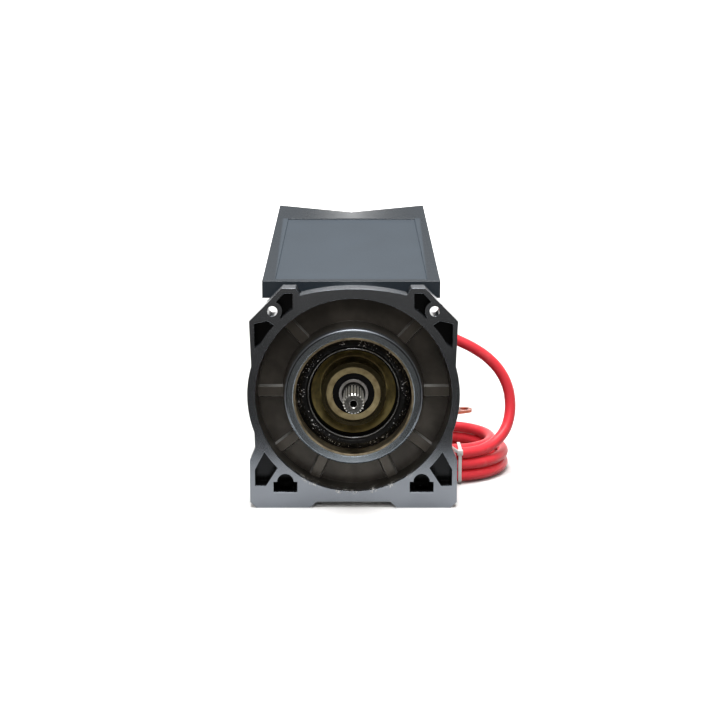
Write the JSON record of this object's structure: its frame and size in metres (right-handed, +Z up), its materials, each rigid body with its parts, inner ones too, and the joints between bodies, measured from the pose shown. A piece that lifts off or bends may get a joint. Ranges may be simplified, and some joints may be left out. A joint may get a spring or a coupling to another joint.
{
  "type": "electric winch motor and drum support",
  "caption": "Motor half of an electric winch: cast drum support with a splined drive shaft, barrel motor, wedge-shaped control box and a coiled red battery lead.",
  "frame": {"origin": "middle of the line between the two foot bolts, on the plane that the feet stand on", "axes": "+X to the right seen from the drum side, +Y along the shaft from the drum side to the motor, +Z up"},
  "size_m": [0.2402, 0.246, 0.2362],
  "materials": {
    "cast_support": "dark grey painted casting, satin",
    "bush_bronze": "greasy bronze",
    "seal_rubber": "black, greased",
    "bell_zinc": "olive passivated",
    "race_steel": "greased bearing steel",
    "shaft_steel": "machined",
    "bolt_steel": "zinc plated",
    "barrel_paint": "black paint",
    "cap_cast": "black painted casting",
    "iron_core": "stacked sheets",
    "copper": "copper",
    "carbon": "carbon brush",
    "insulation": "moulded insulation",
    "box_plastic": "fine grained, dark blue grey",
    "contactor_plastic": "moulded",
    "bracket_paint": "black paint",
    "lead_red": "smooth red sheath",
    "sleeve_red": "red shrink sleeve",
    "tie_nylon": "natural nylon"
  },
  "bodies": {
    "winch": {"drum_support": "cast_support", "drum_bush": "bush_bronze", "grease_seal": "seal_rubber", "end_bell": "bell_zinc", "bell_bolts": "bolt_steel", "drive_bearing_outer_race": "race_steel", "drive_bearing_balls": "shaft_steel", "drive_bearing_shield": "seal_rubber", "rear_bearing_outer_race": "race_steel", "rear_bearing_balls": "shaft_steel", "motor_barrel": "barrel_paint", "pole_shoes": "iron_core", "pole_screws": "bolt_steel", "field_coils": "copper", "brush_ring": "insulation", "brushes": "carbon", "brush_springs": "bolt_steel", "rear_cap": "cap_cast", "through_bolts": "bolt_steel", "terminal_insulators": "insulation", "terminal_studs": "copper", "terminal_nuts": "bolt_steel", "bus_bars": "copper", "contactor": "contactor_plastic", "box_base": "box_plastic", "cover_screws": "bolt_steel", "box_saddle": "bracket_paint", "saddle_bolts": "bolt_steel", "box_cover": "box_plastic", "lead_gland": "seal_rubber", "lead_run": "lead_red", "lead_coil": "lead_red", "coil_tie": "tie_nylon", "lead_tail": "lead_red", "lug_sleeve": "sleeve_red", "lead_lug": "copper"},
    "armature": {"armature_shaft": "shaft_steel", "armature_core": "iron_core", "end_windings": "copper", "commutator": "copper", "drive_bearing_inner_race": "race_steel", "rear_bearing_inner_race": "race_steel"}
  },
  "joints": [
    {"name": "armature_spin", "type": "hinge", "parent": "winch", "child": "armature", "pos_m": [0, 0, 0.0962], "axis": [0, -1, 0], "continuous": true}
  ]
}
